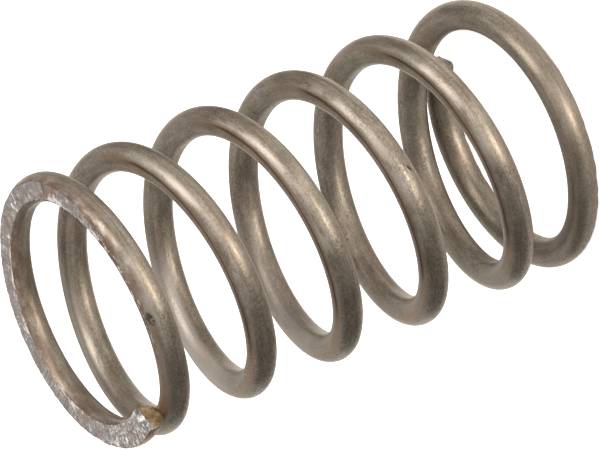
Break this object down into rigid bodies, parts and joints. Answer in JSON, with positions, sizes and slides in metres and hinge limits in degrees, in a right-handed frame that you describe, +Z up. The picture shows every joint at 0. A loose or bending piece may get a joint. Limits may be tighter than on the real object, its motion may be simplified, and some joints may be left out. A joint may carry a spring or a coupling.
{
  "type": "compression spring",
  "caption": "Small helical compression spring of round steel wire, with closed and ground ends that stand flat; it pushes back along its axis when squeezed.",
  "frame": {"origin": "on the coil axis, in the plane of the lower ground end", "axes": "+Z up along the coil axis, towards the upper ground end; the lower tip of the wire lies in the direction +X"},
  "size_m": [0.012, 0.012, 0.022],
  "materials": {
    "spring_steel": "drawn spring steel wire, tempered grey-brown, with fine draw lines and small pits; ground bare on the two end faces"
  },
  "bodies": {
    "root": {"spring": "spring_steel"}
  },
  "joints": []
}
